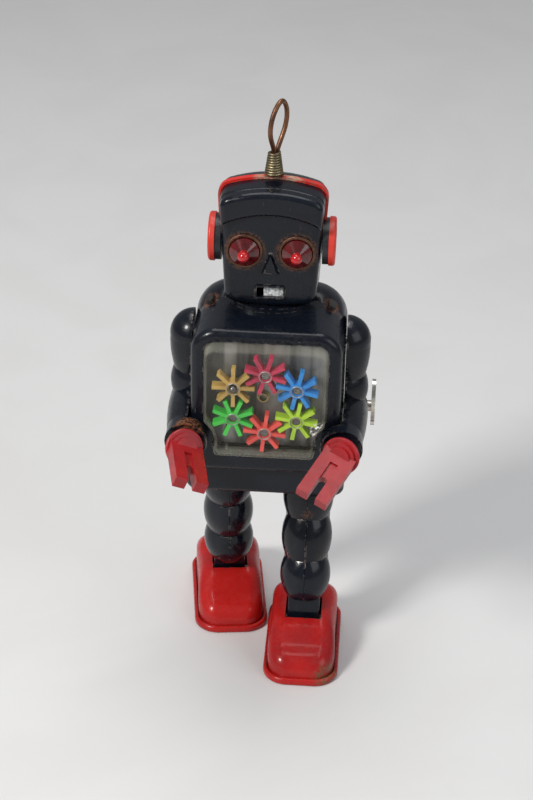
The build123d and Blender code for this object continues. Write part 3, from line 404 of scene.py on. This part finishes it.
plate = Shade("plate_grey", rough=0.35, metal=0.55)
stripe = plate.noise(160, 2, (1, 1, 0.02))
smear = plate.noise(120, 5)
tone = plate.mix(plate.ramp(stripe, 0.42, 0.62), (0.045, 0.046, 0.048, 1), (0.22, 0.22, 0.21, 1))
plate.colour(plate.mix(plate.ramp(smear, 0.5, 0.75, 0.0, 0.4), tone, (0.12, 0.11, 0.10, 1)))
plate.rough(plate.ramp(smear, 0.3, 0.7, 0.28, 0.5))
plate.bump(plate.noise(600, 4, (1, 1, 0.1)), 0.15, 0.0003)
give(plate.material, "wheel_plate")

window = Shade("window_plastic", rough=0.06, coat=0.6, coat_rough=0.03)
haze = window.noise(70, 5)
facing = window.nodes.new("ShaderNodeLayerWeight")
facing.inputs["Blend"].default_value = 0.35
window_low, window_high = corners("window_cover")
# A whiter, more opaque patch low on the right of the window cover.
white_patch = window.spots(
    window.near((window_high.x - 0.005, window_low.y, window_low.z + 0.017), 0.004),
    window.noise(900, 5), 0.5, 0.6,
)
window.colour(window.mix(white_patch, (0.55, 0.54, 0.43, 1), (0.95, 0.95, 0.95, 1)))
glancing = window.ramp(facing.outputs["Facing"], 0.1, 0.95, 0.02, 0.42)
cover = window.math("ADD", glancing, window.ramp(haze, 0.5, 0.8, 0.0, 0.03))
window.feed(window.shader.inputs["Alpha"], window.math("MAXIMUM", cover, white_patch))
window.rough(window.ramp(haze, 0.3, 0.8, 0.04, 0.16))
window.bump(window.noise(25, 2), 0.08, 0.002)
give(window.material, "window_cover")

# Floor, light and camera ----------------------------------------------------
floor_mesh = bpy.data.meshes.new("floor")
form = bmesh.new()
bmesh.ops.create_grid(form, x_segments=8, y_segments=8, size=9.0)
form.to_mesh(floor_mesh)
form.free()
floor = bpy.data.objects.new("floor", floor_mesh)
bpy.context.collection.objects.link(floor)
floor_shade = Shade("floor_board", rough=0.55)
streak = floor_shade.noise(9, 6, (1, 1, 1), 1.5)
board_tone = floor_shade.ramp(streak, 0.4, 0.65)
floor_shade.colour(floor_shade.mix(board_tone, (0.60, 0.595, 0.59, 1), (0.585, 0.578, 0.57, 1)))
floor_mesh.materials.append(floor_shade.material)

world = bpy.data.worlds.new("studio")
bpy.context.scene.world = world
world.use_nodes = True
bpy.context.scene.view_settings.view_transform = "Standard"
world.node_tree.nodes["Background"].inputs["Color"].default_value = (0.82, 0.85, 0.90, 1)
world.node_tree.nodes["Background"].inputs["Strength"].default_value = 0.34


def area_light(name, place, target, size, power, colour=(1, 1, 1)):
    """Soft light aimed at a point."""
    light = bpy.data.lights.new(name, "AREA")
    light.shape = "RECTANGLE"
    light.size = size[0]
    light.size_y = size[1]
    light.energy = power
    light.color = colour
    lamp = bpy.data.objects.new(name, light)
    lamp.location = place
    lamp.rotation_euler = (Vector(target) - Vector(place)).to_track_quat("-Z", "Y").to_euler()
    bpy.context.collection.objects.link(lamp)


area_light("key_light", (-0.75, -0.75, 0.95), (0, 0, 0.12), (0.28, 0.28), 16, (1.0, 0.98, 0.95))
area_light("fill_light", (0.9, -0.6, 0.7), (0, 0, 0.12), (0.8, 0.8), 4, (0.95, 0.97, 1.0))
area_light("top_light", (0.0, 0.2, 1.2), (0, 0, 0.1), (0.8, 0.8), 7)

camera_data = bpy.data.cameras.new("camera")
camera_data.sensor_width = 36
camera_data.lens = 90
camera = bpy.data.objects.new("camera", camera_data)
right = Vector((0.99749, 0.06846, 0.01788))
up = Vector((-0.05027, 0.50791, 0.85994))
back = right.cross(up).normalized()
up = back.cross(right).normalized()
pose = Matrix((right, up, back)).transposed().to_4x4()
pose.translation = Vector((0.03970, -0.69881, 0.53366))
camera.matrix_world = pose
bpy.context.collection.objects.link(camera)
bpy.context.scene.camera = camera
